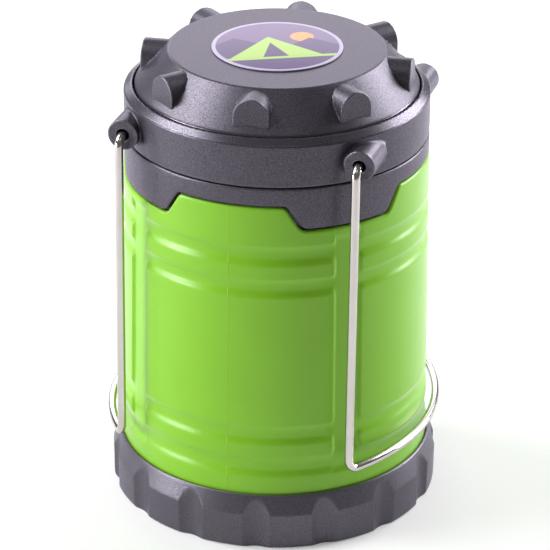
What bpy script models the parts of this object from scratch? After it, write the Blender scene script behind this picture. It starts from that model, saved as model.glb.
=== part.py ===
"""Pull-up camping lantern: a fixed body, and a head that slides up out of it to uncover the lamp.

All driving dimensions are in millimetres. Z is up and the lantern stands on Z = 0, centred on the
Z axis. The handle hinges run along Y.
"""
import math

import bmesh
import bpy
from mathutils import Matrix, Vector

MM = 0.001
GAP = 0.3               # clearance between neighbouring pieces

# Overall levels, closed
DISC_Z = 124.8          # flat top of the cap
RIM_Z = 115.5           # top edge of the collar
SPLIT_Z = 102.3         # parting line between the sliding collar and the skirt

# Cap
DISC_R = 28.6
CAP_R = 37.3
CAP_WALL = 2.2
CAP_LIP_Z = 115.7
KNOB_COUNT = 8
KNOB_ANGLE = -83.2
KNOB_R = 4.7
KNOB_FACE_R = 35.6
KNOB_TOP_Z = 124.4
BADGE_R = 17.1

# Collar
COLLAR_R = 40.1
COLLAR_BORE = 37.65
COLLAR_CHAMFER_Z = 113.9
DECK_Z = 109.5
DECK_T = 2.0
BOSS_X = 31.5
BOSS_FACE_Y = 31.4
BOSS_Z = 108.4
BOSS_R = 4.1
BORE_R = 1.65
BORE_END_Y = 23.4

# Wire handles
WIRE_R = 1.15
LEG_TOP_Y = 34.0
LEG_BOTTOM_Y = 35.2
HANDLE_LOW_Z = 23.5
HANDLE_REACH_X = 43.6

# Lens and lamp
LENS_R = 35.6
LENS_WALL = 1.5
LENS_LOW_Z = 36.3
CARRIER_R = 36.6
CARRIER_T = 2.7
COLUMN_APOTHEM = 22.2
COLUMN_BORE = 20.2
STRIP_LOW_Z = 46.0
STRIP_H = 50.0
STRIP_W = 14.0
LEDS_PER_STRIP = 5

# Body
SKIRT_R = 40.1
SKIRT_RAISED_Z = 97.5
TAB_LOW_Z = 91.0
TAB_LOW_HALF = 12.0
TAB_HIGH_HALF = 16.2
TAB_ANGLES = (45.0, 135.0, 225.0, 315.0)
LINER_R = 38.5
LINER_BORE = 36.9
LINER_LOW_Z = 15.7
LINER_FLOOR_TOP = 21.0
SLEEVE_TOP_Z = 97.0
SLEEVE_TOP_R = 40.2
SLEEVE_DRAFT = 0.0165   # growth of radius per millimetre downwards
SLEEVE_WALL = 1.3
SLEEVE_LOW_Z = 13.2
SLEEVE_GROOVES = ((86.7, 80.4), (77.5, 71.5), (35.3, 29.0), (26.1, 19.5))
GROOVE_DEPTH = 0.75
CHANNEL_W = 7.2

# Battery bay
HOUSING_R = 17.8
HOUSING_BORE = 16.2
HOUSING_TOP_Z = 71.0
CELL_R = 7.1
CELL_CIRCLE = 8.45
CELL_LOW_Z = 17.0
CELL_H = 49.5

# Battery cover
BASE_R = 44.2
BASE_EDGE_Z = 9.8
BASE_TOP_Z = 15.1
BASE_TOP_R = 42.4
BASE_BORE = 41.95
BASE_FLOOR = 2.4
FLUTE_COUNT = 15
FLUTE_ANGLE = -78.6
FLUTE_R = 6.2
FLUTE_DEPTH = 1.3
HUB_R = 35.3
HUB_TOP_Z = 12.2
LUG_COUNT = 3
LUG_SPAN = 28.0

SEG = 48                # segments of the large turned pieces
FINE = 28               # segments of the inner ones


# ---------------------------------------------------------------- tools

def clear_scene():
    for obj in list(bpy.data.objects):
        bpy.data.objects.remove(obj, do_unlink=True)


def new_collection(name):
    collection = bpy.data.collections.new(name)
    bpy.context.scene.collection.children.link(collection)
    return collection


def material(name, color, roughness, metallic=0.0, transmission=0.0):
    mat = bpy.data.materials.new(name)
    mat.use_nodes = True
    shader = mat.node_tree.nodes["Principled BSDF"]
    shader.inputs["Base Color"].default_value = (*color, 1.0)
    shader.inputs["Roughness"].default_value = roughness
    shader.inputs["Metallic"].default_value = metallic
    shader.inputs["Transmission Weight"].default_value = transmission
    mat.diffuse_color = (*color, 1.0)
    return mat


def add_object(name, mesh, mat, collection):
    obj = bpy.data.objects.new(name, mesh)
    collection.objects.link(obj)
    if mat:
        mesh.materials.append(mat)
    else:
        obj.hide_render = True
        obj.display_type = "WIRE"
    return obj


def mesh_from(name, bm):
    bmesh.ops.recalc_face_normals(bm, faces=bm.faces)
    mesh = bpy.data.meshes.new(name)
    bm.to_mesh(mesh)
    bm.free()
    return mesh


def part(name, bm, mat):
    """A finished piece from a bmesh in metres."""
    mesh = mesh_from(name, bm)
    mesh.shade_smooth()
    mesh.set_sharp_from_angle(angle=math.radians(35))
    return add_object(name, mesh, mat, PARTS)


def cutter(name, bm):
    return add_object(name, mesh_from(name, bm), None, CUTTERS)


def turned(name, profile, mat, steps=SEG):
    """Turn a profile of (radius, z). Its points run down the outer side.

    A profile that ends on the axis at both ends is a solid, any other is a closed ring.
    """
    mesh = bpy.data.meshes.new(name)
    points = [(r * MM, 0.0, z * MM) for r, z in profile]
    edges = [(i, i + 1) for i in range(len(points) - 1)]
    if profile[0][0] > 0.0 or profile[-1][0] > 0.0:
        edges.append((len(points) - 1, 0))
    mesh.from_pydata(points, edges, [])
    obj = add_object(name, mesh, mat, PARTS if mat else CUTTERS)
    screw = obj.modifiers.new("Turn", "SCREW")
    screw.axis = "Z"
    screw.steps = steps
    screw.render_steps = steps
    screw.use_merge_vertices = True
    screw.merge_threshold = 0.00001
    screw.use_smooth_shade = True
    return obj


def combine(obj, other, operation):
    boolean = obj.modifiers.new(operation.title(), "BOOLEAN")
    boolean.operation = operation
    boolean.object = other
    boolean.solver = "EXACT"


def rotation_z(degrees):
    return Matrix.Rotation(math.radians(degrees), 4, "Z")


def ring_angles(count, first=0.0):
    return [first + i * 360.0 / count for i in range(count)]


def on_circle(radius, degrees):
    a = math.radians(degrees)
    return (radius * math.cos(a), radius * math.sin(a))


def add_cylinder(bm, radius, low, high, centre=(0.0, 0.0), steps=12, matrix=None):
    middle = Vector((centre[0], centre[1], (low + high) / 2)) * MM
    place = (matrix or Matrix()) @ Matrix.Translation(middle)
    bmesh.ops.create_cone(bm, cap_ends=True, segments=steps, radius1=radius * MM,
                          radius2=radius * MM, depth=(high - low) * MM, matrix=place)


def add_box(bm, low, high, matrix=None):
    size = Vector(high) - Vector(low)
    middle = (Vector(high) + Vector(low)) / 2 * MM
    place = (matrix or Matrix()) @ Matrix.Translation(middle)
    place = place @ Matrix.Diagonal((*(size * MM), 1.0))
    bmesh.ops.create_cube(bm, size=1.0, matrix=place)


def add_prism(bm, outline, near, far, degrees):
    """Extrude an outline of (across, z) along the radius at an angle, from near to far."""
    place = rotation_z(degrees)
    loop = [bm.verts.new(place @ (Vector((near, u, z)) * MM)) for u, z in outline]
    face = bm.faces.new(loop)
    grown = bmesh.ops.extrude_face_region(bm, geom=[face])
    moved = [v for v in grown["geom"] if isinstance(v, bmesh.types.BMVert)]
    step = place @ Vector(((far - near) * MM, 0.0, 0.0))
    bmesh.ops.translate(bm, verts=moved, vec=step)


def rounded(points, radii, steps=3, closed=True):
    """Replace corners of a path by arcs of the given radii (0 keeps the corner)."""
    result = []
    count = len(points)
    for i, point in enumerate(points):
        here = Vector(point)
        if radii[i] == 0 or (not closed and i in (0, count - 1)):
            result.append(here)
            continue
        back = (Vector(points[i - 1]) - here).normalized()
        ahead = (Vector(points[(i + 1) % count]) - here).normalized()
        half = back.angle(ahead) / 2
        centre = here + (back + ahead).normalized() * (radii[i] / math.sin(half))
        start = (here + back * (radii[i] / math.tan(half)) - centre).normalized()
        end = (here + ahead * (radii[i] / math.tan(half)) - centre).normalized()
        for k in range(steps + 1):
            result.append(centre + start.slerp(end, k / steps, start) * radii[i])
    return result


def screws(name, circle, angles, head_low, head_high, tip, mat):
    """Pan-head screws on a circle. The tip is above or below the head."""
    for i, degrees in enumerate(angles):
        place = on_circle(circle, degrees)
        if tip > head_high:
            profile = [(0, tip), (1.0, tip - 0.6), (1.0, head_high), (2.2, head_high),
                       (2.2, head_low + 0.4), (1.7, head_low), (0, head_low)]
        else:
            profile = [(0, head_high), (1.7, head_high), (2.2, head_high - 0.4),
                       (2.2, head_low), (1.0, head_low), (1.0, tip + 0.6), (0, tip)]
        obj = turned(f"{name}_{i + 1}", profile, mat, 8)
        obj.location = (place[0] * MM, place[1] * MM, 0.0)


def hole_cutter(name, radius, circle, angles, low, high):
    bm = bmesh.new()
    for degrees in angles:
        add_cylinder(bm, radius, low, high, on_circle(circle, degrees), 10)
    return cutter(name, bm)


# ---------------------------------------------------------------- head

CAP_SCREW_CIRCLE = 28.4
CAP_SCREW_ANGLES = ring_angles(4, 0.0)
COLUMN_SCREW_CIRCLE = 15.5
COLUMN_SCREW_ANGLES = ring_angles(3, 90.0)
CARRIER_SCREW_CIRCLE = 22.9
CARRIER_SCREW_ANGLES = ring_angles(3, 90.0)
HOUSING_SCREW_CIRCLE = 30.4
HOUSING_SCREW_ANGLES = ring_angles(3, 30.0)


def top_cap():
    cap = turned("top_cap", [
        (0, DISC_Z), (DISC_R - 0.3, DISC_Z), (DISC_R, DISC_Z - 0.3),
        (CAP_R - 0.7, CAP_LIP_Z + 0.5), (CAP_R, CAP_LIP_Z - 0.2),
        (CAP_R, DECK_Z + DECK_T + GAP), (0, DECK_Z + DECK_T + GAP)], MAT["graphite"])
    axis_z = KNOB_TOP_Z - KNOB_R
    arc = [(KNOB_R * math.cos(a), axis_z + KNOB_R * math.sin(a))
           for a in [math.pi * k / 8 for k in range(9)]]
    outline = [(KNOB_R, axis_z - 6.0)] + arc + [(-KNOB_R, axis_z - 6.0)]
    bm = bmesh.new()
    for degrees in ring_angles(KNOB_COUNT, KNOB_ANGLE):
        add_prism(bm, outline, DISC_R - 5.0, KNOB_FACE_R, degrees)
    combine(cap, cutter("knobs", bm), "UNION")
    combine(cap, turned("cap_hollow", [
        (0, DISC_Z - CAP_WALL), (DISC_R - 1.6, DISC_Z - CAP_WALL),
        (CAP_R - CAP_WALL, CAP_LIP_Z - 1.6), (CAP_R - CAP_WALL, DECK_Z), (0, DECK_Z)], None),
        "DIFFERENCE")
    bm = bmesh.new()
    for degrees in CAP_SCREW_ANGLES:
        add_cylinder(bm, 2.9, DECK_Z + DECK_T + GAP, DISC_Z - CAP_WALL + 0.6,
                     on_circle(CAP_SCREW_CIRCLE - 1.0, degrees))
    combine(cap, cutter("cap_posts", bm), "UNION")
    combine(cap, hole_cutter("cap_post_holes", 1.3, CAP_SCREW_CIRCLE, CAP_SCREW_ANGLES,
                             DECK_Z, 119.5), "DIFFERENCE")


def top_badge():
    bm = bmesh.new()
    add_cylinder(bm, BADGE_R, DISC_Z + 0.05, DISC_Z + 0.35, steps=36)
    part("top_badge", bm, MAT["badge"])


def collar():
    ring = turned("collar", [
        (0, RIM_Z), (38.0, RIM_Z), (COLLAR_R, COLLAR_CHAMFER_Z),
        (COLLAR_R, SPLIT_Z + 2.3), (COLLAR_R - 0.15, SPLIT_Z + 2.2),
        (COLLAR_R - 0.15, SPLIT_Z + GAP), (0, SPLIT_Z + GAP)], MAT["graphite"])
    bm = bmesh.new()
    turn = Matrix.Rotation(math.radians(90), 4, "X")
    for x in (-BOSS_X, BOSS_X):
        for low, high in ((-BOSS_FACE_Y, -20.0), (20.0, BOSS_FACE_Y)):
            add_cylinder(bm, BOSS_R, -high, -low, (x, BOSS_Z), 20, turn)
    combine(ring, cutter("handle_bosses", bm), "UNION")
    combine(ring, turned("collar_hollow", [
        (0, DECK_Z), (COLLAR_BORE, DECK_Z), (COLLAR_BORE, SPLIT_Z + 2.6),
        (LENS_R + 0.4, SPLIT_Z + 2.6), (LENS_R + 0.4, SPLIT_Z), (0, SPLIT_Z)], None),
        "DIFFERENCE")
    combine(ring, turned("collar_seat", [
        (0, RIM_Z + 1), (COLLAR_BORE, RIM_Z + 1), (COLLAR_BORE, DECK_Z + DECK_T),
        (0, DECK_Z + DECK_T)], None), "DIFFERENCE")
    bm = bmesh.new()
    for x in (-BOSS_X, BOSS_X):
        for low, high in ((-BOSS_FACE_Y - 1, -BORE_END_Y), (BORE_END_Y, BOSS_FACE_Y + 1)):
            add_cylinder(bm, BORE_R, -high, -low, (x, BOSS_Z), 12, turn)
    add_cylinder(bm, 5.0, DECK_Z - 1, DECK_Z + DECK_T + 1, steps=16)
    for degrees in CAP_SCREW_ANGLES:
        add_cylinder(bm, 1.3, DECK_Z - 1, DECK_Z + DECK_T + 1,
                     on_circle(CAP_SCREW_CIRCLE, degrees), 10)
    for degrees in COLUMN_SCREW_ANGLES:
        add_cylinder(bm, 1.3, DECK_Z - 1, DECK_Z + DECK_T + 1,
                     on_circle(COLUMN_SCREW_CIRCLE, degrees), 10)
    combine(ring, cutter("collar_holes", bm), "DIFFERENCE")


def handle(name, side):
    """A bent wire. side is +1 for the handle at +X, and the object's origin is on its hinge."""
    sag = HANDLE_REACH_X - BOSS_X
    radius = (LEG_BOTTOM_Y ** 2 + sag ** 2) / (2 * sag)
    centre_x = HANDLE_REACH_X - radius
    half = math.asin(LEG_BOTTOM_Y / radius)
    steps = 12
    bow = [(centre_x + radius * math.cos(a), radius * math.sin(a), HANDLE_LOW_Z)
           for a in [half * (2 * k / steps - 1) for k in range(steps + 1)]]
    start = [(BOSS_X, -BORE_END_Y - 0.8, BOSS_Z), (BOSS_X, -LEG_TOP_Y, BOSS_Z)]
    end = [(x, -y, z) for x, y, z in reversed(start)]
    path = start + bow + end
    radii = [0, 2.2, 2.6] + [0] * (steps - 1) + [2.6, 2.2, 0]
    points = [Vector((side * (p.x - BOSS_X), p.y, p.z - BOSS_Z)) * MM
              for p in rounded(path, radii, 4, closed=False)]
    curve = bpy.data.curves.new(name, "CURVE")
    curve.dimensions = "3D"
    curve.bevel_depth = WIRE_R * MM
    curve.bevel_resolution = 2
    curve.use_fill_caps = True
    spline = curve.splines.new("POLY")
    spline.points.add(len(points) - 1)
    for point, place in zip(spline.points, points):
        point.co = (*place, 1.0)
    curve.materials.append(MAT["steel"])
    obj = bpy.data.objects.new(name, curve)
    PARTS.objects.link(obj)
    obj.location = (side * BOSS_X * MM, 0.0, BOSS_Z * MM)


def control_board():
    bm = bmesh.new()
    deck_top = DECK_Z + DECK_T + GAP
    add_cylinder(bm, 11.5, deck_top, deck_top + 1.6, steps=24)
    board = part("control_board", bm, MAT["board"])
    bm = bmesh.new()
    add_box(bm, (-6.0, -5.0, deck_top + 1.2), (2.0, 3.0, deck_top + 3.2))
    add_box(bm, (3.5, -2.0, deck_top + 1.2), (6.5, 4.0, deck_top + 2.6))
    combine(board, cutter("board_chips", bm), "UNION")


def lens_tube():
    high = DECK_Z - GAP
    inner = LENS_R - LENS_WALL
    turned("lens_tube", [(inner, high), (LENS_R, high), (LENS_R, LENS_LOW_Z),
                         (inner, LENS_LOW_Z)], MAT["clear"])


def upper_reflector():
    outer = LENS_R - LENS_WALL - 0.4
    high = DECK_Z - GAP
    turned("upper_reflector", [
        (outer - 1.0, high), (outer, high), (outer, high - 5.6), (27.2, 95.4),
        (26.4, 95.4), (26.4, 96.8), (outer - 1.0, high - 4.9)], MAT["mirror"], FINE)


def lower_reflector():
    outer = LENS_R - LENS_WALL - 0.4
    turned("lower_reflector", [
        (27.2, 45.2), (outer, 40.0), (outer, LENS_LOW_Z), (outer - 1.0, LENS_LOW_Z),
        (outer - 1.0, 39.3), (26.4, 44.0), (26.4, 45.2)], MAT["mirror"], FINE)


def carrier_ring():
    low = LENS_LOW_Z - GAP - CARRIER_T
    ring = turned("carrier_ring", [
        (20.6, low + CARRIER_T), (CARRIER_R, low + CARRIER_T), (CARRIER_R, low), (20.6, low)],
        MAT["graphite"], FINE)
    combine(ring, hole_cutter("carrier_holes", 1.3, CARRIER_SCREW_CIRCLE,
                              CARRIER_SCREW_ANGLES, low - 1, low + CARRIER_T + 1), "DIFFERENCE")


def led_column():
    low = LENS_LOW_Z
    high = DECK_Z - GAP
    corner = COLUMN_APOTHEM / math.cos(math.radians(30))
    bm = bmesh.new()
    add_cylinder(bm, corner, low, high, steps=6)
    column = part("led_column", bm, MAT["white"])
    bm = bmesh.new()
    add_cylinder(bm, COLUMN_BORE, low - 5, high - 3.0, steps=24)
    combine(column, cutter("column_bore", bm), "DIFFERENCE")
    bm = bmesh.new()
    for degrees in CARRIER_SCREW_ANGLES:
        add_cylinder(bm, 1.3, low - 1, low + 6.5, on_circle(CARRIER_SCREW_CIRCLE, degrees), 10)
    for degrees in COLUMN_SCREW_ANGLES:
        add_cylinder(bm, 1.3, high - 4, high + 1, on_circle(COLUMN_SCREW_CIRCLE, degrees), 10)
    combine(column, cutter("column_holes", bm), "DIFFERENCE")


def led_strips():
    near = COLUMN_APOTHEM + GAP
    pitch = STRIP_H / LEDS_PER_STRIP
    for i, degrees in enumerate(ring_angles(6, 0.0)):
        turn = rotation_z(degrees)
        bm = bmesh.new()
        add_box(bm, (near, -STRIP_W / 2, STRIP_LOW_Z),
                (near + 1.0, STRIP_W / 2, STRIP_LOW_Z + STRIP_H), turn)
        strip = part(f"led_strip_{i + 1}", bm, MAT["board"])
        bm = bmesh.new()
        for k in range(LEDS_PER_STRIP):
            z = STRIP_LOW_Z + pitch * (k + 0.5)
            add_box(bm, (near + 0.5, -1.75, z - 1.75), (near + 2.0, 1.75, z + 1.75), turn)
        combine(strip, cutter(f"leds_{i + 1}", bm), "UNION")


def wipers():
    """Two sprung brass blades under the carrier, which run on the rails in the body."""
    top = LENS_LOW_Z - 2 * GAP - CARRIER_T
    outline = [(34.0, top), (35.9, top), (36.55, top - 4.0), (36.1, top - 8.0),
               (35.7, top - 8.0), (36.15, top - 4.0), (35.6, top - 0.5), (34.0, top - 0.5)]
    for i, degrees in enumerate((0.0, 180.0)):
        bm = bmesh.new()
        place = rotation_z(degrees)
        loop = [bm.verts.new(place @ (Vector((r, -1.5, z)) * MM)) for r, z in outline]
        grown = bmesh.ops.extrude_face_region(bm, geom=[bm.faces.new(loop)])
        moved = [v for v in grown["geom"] if isinstance(v, bmesh.types.BMVert)]
        bmesh.ops.translate(bm, verts=moved, vec=place @ Vector((0, 3.0 * MM, 0)))
        part(f"contact_wiper_{i + 1}", bm, MAT["brass"])


# ---------------------------------------------------------------- body

def tab_outline(grow, high):
    """The trapezoid of one skirt tab in (across, z), made larger all round by grow."""
    low = TAB_LOW_Z - grow
    slope = (TAB_HIGH_HALF - TAB_LOW_HALF) / (SKIRT_RAISED_Z - TAB_LOW_Z)
    top_half = TAB_HIGH_HALF + grow + slope * (high - SKIRT_RAISED_Z)
    low_half = TAB_LOW_HALF + grow
    points = [(-low_half, low, 0), (low_half, low, 0), (top_half, high, 0),
              (-top_half, high, 0)]
    return [(p.x, p.y) for p in rounded(points, [2.4, 2.4, 0, 0])]


def tabs(name, grow, high):
    bm = bmesh.new()
    for degrees in TAB_ANGLES:
        add_prism(bm, tab_outline(grow, high), 25.0, 48.0, degrees)
    return cutter(name, bm)


def body_liner():
    liner = turned("body_liner", [
        (36.0, SPLIT_Z), (SKIRT_R, SPLIT_Z), (SKIRT_R + 0.1, TAB_LOW_Z), (LINER_R, TAB_LOW_Z),
        (LINER_R, LINER_LOW_Z + 1.6), (39.7, LINER_LOW_Z + 1.6), (39.7, LINER_LOW_Z),
        (26.5, LINER_LOW_Z), (26.5, LINER_FLOOR_TOP), (LINER_BORE, LINER_FLOOR_TOP),
        (LINER_BORE, 99.0), (36.0, 99.4)], MAT["graphite"])
    notch = turned("skirt_notch", [
        (LINER_R + 0.001, SKIRT_RAISED_Z), (48.0, SKIRT_RAISED_Z), (48.0, TAB_LOW_Z - 1),
        (LINER_R + 0.001, TAB_LOW_Z - 1)], None)
    combine(notch, tabs("skirt_tabs", 0.0, SKIRT_RAISED_Z + 1), "DIFFERENCE")
    combine(liner, notch, "DIFFERENCE")
    bm = bmesh.new()
    for degrees in (0.0, 180.0):
        add_box(bm, (36.0, -2.3, LINER_FLOOR_TOP), (37.8, 2.3, 98.0), rotation_z(degrees))
    for degrees in HOUSING_SCREW_ANGLES:
        add_cylinder(bm, 1.3, LINER_LOW_Z - 1, LINER_FLOOR_TOP - 1,
                     on_circle(HOUSING_SCREW_CIRCLE, degrees), 10)
    combine(liner, cutter("liner_grooves", bm), "DIFFERENCE")


def contact_rails():
    for i, degrees in enumerate((0.0, 180.0)):
        bm = bmesh.new()
        add_box(bm, (36.95, -2.0, LINER_FLOOR_TOP + GAP), (37.45, 2.0, 97.5),
                rotation_z(degrees))
        part(f"contact_rail_{i + 1}", bm, MAT["brass"])


def sleeve_radius(z):
    return SLEEVE_TOP_R + (SLEEVE_TOP_Z - z) * SLEEVE_DRAFT


def outer_sleeve():
    outer = [(SLEEVE_TOP_Z, 0.35), (SLEEVE_TOP_Z - 0.4, 0.0)]
    for high, low in SLEEVE_GROOVES:
        width = high - low
        outer += [(high, 0.0), (high - 0.16 * width, GROOVE_DEPTH * 0.85),
                  (high - 0.5 * width, GROOVE_DEPTH), (low, 0.0)]
    outer.append((SLEEVE_LOW_Z, 0.0))
    inner = [(sleeve_radius(z) - SLEEVE_WALL, z) for z in (SLEEVE_LOW_Z, SLEEVE_TOP_Z)]
    profile = [(sleeve_radius(z) - depth, z) for z, depth in outer] + inner
    sleeve = turned("outer_sleeve", profile, MAT["green"])
    combine(sleeve, tabs("sleeve_notches", 0.6, SLEEVE_TOP_Z + 2), "DIFFERENCE")
    low = SLEEVE_GROOVES[-1][1]
    middle = (low + TAB_LOW_Z) / 2
    tilt = Matrix.Rotation(-math.atan(SLEEVE_DRAFT), 4, "Y")
    bm = bmesh.new()
    for degrees in TAB_ANGLES:
        floor = sleeve_radius(middle) - GROOVE_DEPTH
        place = rotation_z(degrees) @ Matrix.Translation((floor * MM, 0, middle * MM)) @ tilt
        add_box(bm, (0.0, -CHANNEL_W / 2, low - middle), (5.0, CHANNEL_W / 2, middle - low),
                place)
    combine(sleeve, cutter("sleeve_channels", bm), "DIFFERENCE")


def battery_housing():
    disc_low = LINER_LOW_Z - GAP - 2.0
    disc_high = LINER_LOW_Z - GAP
    bay = turned("battery_housing", [
        (0, HOUSING_TOP_Z), (HOUSING_R, HOUSING_TOP_Z), (HOUSING_R, disc_high),
        (38.4, disc_high), (38.4, 5.0), (36.6, 5.0), (36.6, disc_low),
        (HOUSING_BORE, disc_low), (HOUSING_BORE, HOUSING_TOP_Z - 1.5),
        (0, HOUSING_TOP_Z - 1.5)], MAT["graphite"], FINE)
    combine(bay, lugs("housing_lugs", HUB_R + 0.45, 37.0, 7.5, 9.7), "UNION")
    combine(bay, hole_cutter("housing_holes", 1.3, HOUSING_SCREW_CIRCLE, HOUSING_SCREW_ANGLES,
                             disc_low - 1, disc_high + 1), "DIFFERENCE")


def lugs(name, near, far, low, high):
    """Short arcs of a ring, the bayonet lugs."""
    bm = bmesh.new()
    steps = 4
    for degrees in ring_angles(LUG_COUNT, -LUG_SPAN / 2):
        angles = [degrees + LUG_SPAN * k / steps for k in range(steps + 1)]
        plan = [on_circle(far, a) for a in angles] + [on_circle(near, a) for a in reversed(angles)]
        loop = [bm.verts.new((x * MM, y * MM, low * MM)) for x, y in plan]
        grown = bmesh.ops.extrude_face_region(bm, geom=[bm.faces.new(loop)])
        moved = [v for v in grown["geom"] if isinstance(v, bmesh.types.BMVert)]
        bmesh.ops.translate(bm, verts=moved, vec=(0, 0, (high - low) * MM))
    return cutter(name, bm)


def battery_cells():
    low = CELL_LOW_Z
    high = low + CELL_H
    for i, degrees in enumerate(ring_angles(3, 90.0)):
        x, y = on_circle(CELL_CIRCLE, degrees)
        cell = turned(f"battery_cell_{i + 1}", [
            (0, high + 1.1), (2.7, high + 1.1), (2.7, high), (CELL_R - 0.4, high),
            (CELL_R, high - 0.4), (CELL_R, low + 0.4), (CELL_R - 0.4, low), (0, low)],
            MAT["cell"], 14)
        cell.location = (x * MM, y * MM, 0.0)


def top_contacts():
    """The plates above the cells: one bridges two cells, the other serves the third."""
    high = HOUSING_TOP_Z - 1.5 - GAP
    a = Vector(on_circle(CELL_CIRCLE, 210.0))
    b = Vector(on_circle(CELL_CIRCLE, 330.0))
    bm = bmesh.new()
    add_box(bm, (a.x - 3.0, a.y - 3.0, high - 0.6), (b.x + 3.0, b.y + 3.0, high))
    part("top_contact_bridge", bm, MAT["brass"])
    bm = bmesh.new()
    add_cylinder(bm, 4.0, high - 0.6, high, on_circle(CELL_CIRCLE, 90.0), 16)
    part("top_contact_plate", bm, MAT["brass"])


# ---------------------------------------------------------------- battery cover

def battery_cover():
    cover = turned("battery_cover", [
        (BASE_BORE, BASE_TOP_Z), (BASE_TOP_R, BASE_TOP_Z), (BASE_R, BASE_EDGE_Z),
        (BASE_R - 0.1, 0.6), (BASE_R - 0.7, 0.0), (36.5, 0.0), (35.7, 0.8), (0, 0.8),
        (0, BASE_FLOOR), (HUB_R - 1.7, BASE_FLOOR), (HUB_R - 1.7, HUB_TOP_Z),
        (HUB_R, HUB_TOP_Z), (HUB_R, BASE_FLOOR), (BASE_BORE, BASE_FLOOR)], MAT["graphite"])
    combine(cover, lugs("cover_lugs", HUB_R - 0.6, HUB_R + 0.9, 10.4, HUB_TOP_Z - 0.1), "UNION")
    bm = bmesh.new()
    centre = BASE_R - FLUTE_DEPTH + FLUTE_R
    for degrees in ring_angles(FLUTE_COUNT, FLUTE_ANGLE):
        add_cylinder(bm, FLUTE_R, -1.0, BASE_TOP_Z + 2, on_circle(centre, degrees), 24)
    combine(cover, cutter("flutes", bm), "DIFFERENCE")


def seal_ring():
    turned("seal_ring", [(37.2, 4.7), (38.0, 4.3), (38.3, BASE_FLOOR + GAP),
                         (36.3, BASE_FLOOR + GAP), (36.6, 4.3)], MAT["rubber"], FINE)


def spring_carrier():
    bm = bmesh.new()
    add_cylinder(bm, 15.6, BASE_FLOOR + GAP, 7.6, steps=24)
    part("spring_carrier", bm, MAT["graphite"])


def battery_springs():
    """Conical contact springs, one under each cell."""
    turns = 3.0
    per_turn = 8
    low = 7.6 + GAP + 0.4
    high = CELL_LOW_Z - GAP - 0.4
    count = int(turns * per_turn)
    for i, degrees in enumerate(ring_angles(3, 90.0)):
        name = f"battery_spring_{i + 1}"
        curve = bpy.data.curves.new(name, "CURVE")
        curve.dimensions = "3D"
        curve.bevel_depth = 0.35 * MM
        curve.bevel_resolution = 0
        curve.use_fill_caps = True
        spline = curve.splines.new("POLY")
        spline.points.add(count)
        for k, point in enumerate(spline.points):
            share = k / count
            a = 2 * math.pi * k / per_turn
            r = 4.6 - 2.2 * share
            point.co = (r * math.cos(a) * MM, r * math.sin(a) * MM,
                        (low + (high - low) * share) * MM, 1.0)
        curve.materials.append(MAT["steel"])
        obj = bpy.data.objects.new(name, curve)
        PARTS.objects.link(obj)
        x, y = on_circle(CELL_CIRCLE, degrees)
        obj.location = (x * MM, y * MM, 0.0)


# ---------------------------------------------------------------- assembly

def parent_to(name, place, members):
    """Hang the named pieces on an empty that stands on their joint's axis."""
    empty = bpy.data.objects.new(name, None)
    empty.location = Vector(place) * MM
    PARTS.objects.link(empty)
    bpy.context.view_layer.update()
    for member in members:
        member.parent = empty
        member.matrix_parent_inverse = empty.matrix_world.inverted()


clear_scene()
PARTS = new_collection("camping_lantern")
CUTTERS = new_collection("cutters")
MAT = {
    "graphite": material("graphite_plastic", (0.13, 0.12, 0.15), 0.38, 0.35),
    "green": material("green_plastic", (0.20, 0.50, 0.05), 0.30),
    "steel": material("nickel_wire", (0.62, 0.60, 0.58), 0.14, 1.0),
    "clear": material("clear_plastic", (0.90, 0.93, 0.95), 0.05, 0.0, 0.9),
    "mirror": material("mirror_plastic", (0.85, 0.86, 0.88), 0.05, 1.0),
    "white": material("white_plastic", (0.80, 0.80, 0.78), 0.45),
    "board": material("circuit_board", (0.75, 0.78, 0.75), 0.40),
    "brass": material("brass_strip", (0.72, 0.52, 0.22), 0.25, 1.0),
    "rubber": material("black_rubber", (0.02, 0.02, 0.02), 0.80),
    "cell": material("cell_wrap", (0.10, 0.12, 0.16), 0.35),
    "badge": material("badge_print", (0.30, 0.24, 0.38), 0.45),
}

top_cap()
top_badge()
collar()
handle("left_handle", -1)
handle("right_handle", 1)
control_board()
lens_tube()
upper_reflector()
lower_reflector()
carrier_ring()
led_column()
led_strips()
wipers()
screws("cap_screw", CAP_SCREW_CIRCLE, CAP_SCREW_ANGLES, DECK_Z - GAP - 1.8, DECK_Z - GAP, 118.5,
       MAT["steel"])
screws("column_screw", COLUMN_SCREW_CIRCLE, COLUMN_SCREW_ANGLES, DECK_Z + DECK_T + GAP,
       DECK_Z + DECK_T + GAP + 1.8, DECK_Z - 3.0, MAT["steel"])
screws("carrier_screw", CARRIER_SCREW_CIRCLE, CARRIER_SCREW_ANGLES,
       LENS_LOW_Z - CARRIER_T - 2 * GAP - 1.8, LENS_LOW_Z - CARRIER_T - 2 * GAP, 42.0,
       MAT["steel"])
HEAD = list(PARTS.objects)

body_liner()
contact_rails()
outer_sleeve()
battery_housing()
screws("housing_screw", HOUSING_SCREW_CIRCLE, HOUSING_SCREW_ANGLES, 11.3, 13.1, 19.4,
       MAT["steel"])
battery_cells()
top_contacts()
FIXED = set(PARTS.objects)

battery_cover()
seal_ring()
spring_carrier()
battery_springs()
COVER = [obj for obj in PARTS.objects if obj not in FIXED]

parent_to("pull_up_axis", (0, 0, SPLIT_Z), HEAD)
parent_to("cover_twist_axis", (0, 0, 0), COVER)
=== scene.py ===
"""Looks of the pull-up camping lantern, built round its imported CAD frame.

Shapes are worked out in millimetres, in the frame's own axes, and turned to metres when a mesh
is made.
"""
import math

import bmesh
import bpy
import numpy as np
from mathutils import Matrix, Vector


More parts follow.
